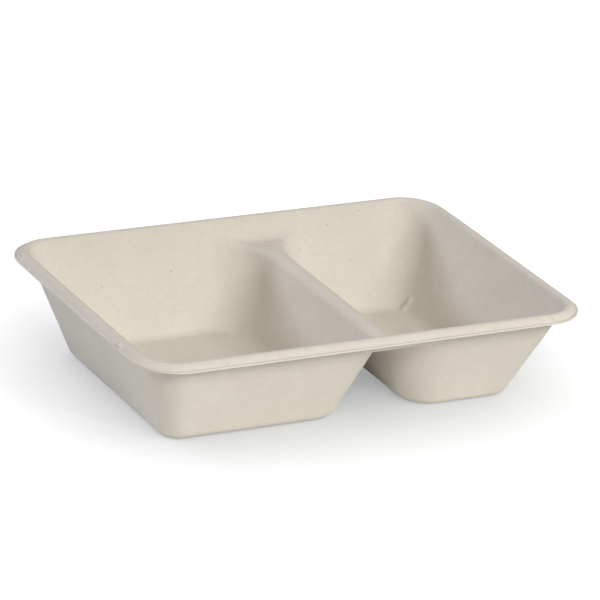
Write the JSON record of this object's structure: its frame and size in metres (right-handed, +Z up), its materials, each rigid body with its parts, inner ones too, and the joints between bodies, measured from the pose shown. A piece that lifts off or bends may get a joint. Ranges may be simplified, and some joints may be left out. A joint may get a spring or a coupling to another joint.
{
  "type": "takeaway tray",
  "caption": "Rectangular food tray pressed from plant fibre in one piece, with a large and a small compartment, a hollow divider and a rolled rim.",
  "frame": {"origin": "on the table, under the middle of the tray's outline", "axes": "+X along the length towards the small compartment, +Y along the width, +Z up out of the tray"},
  "size_m": [0.23, 0.16, 0.0495],
  "materials": {
    "pulp": "matt, natural cream pulp with fine fibres and a few dark specks"
  },
  "bodies": {
    "root": {"tray": "pulp"}
  },
  "joints": []
}
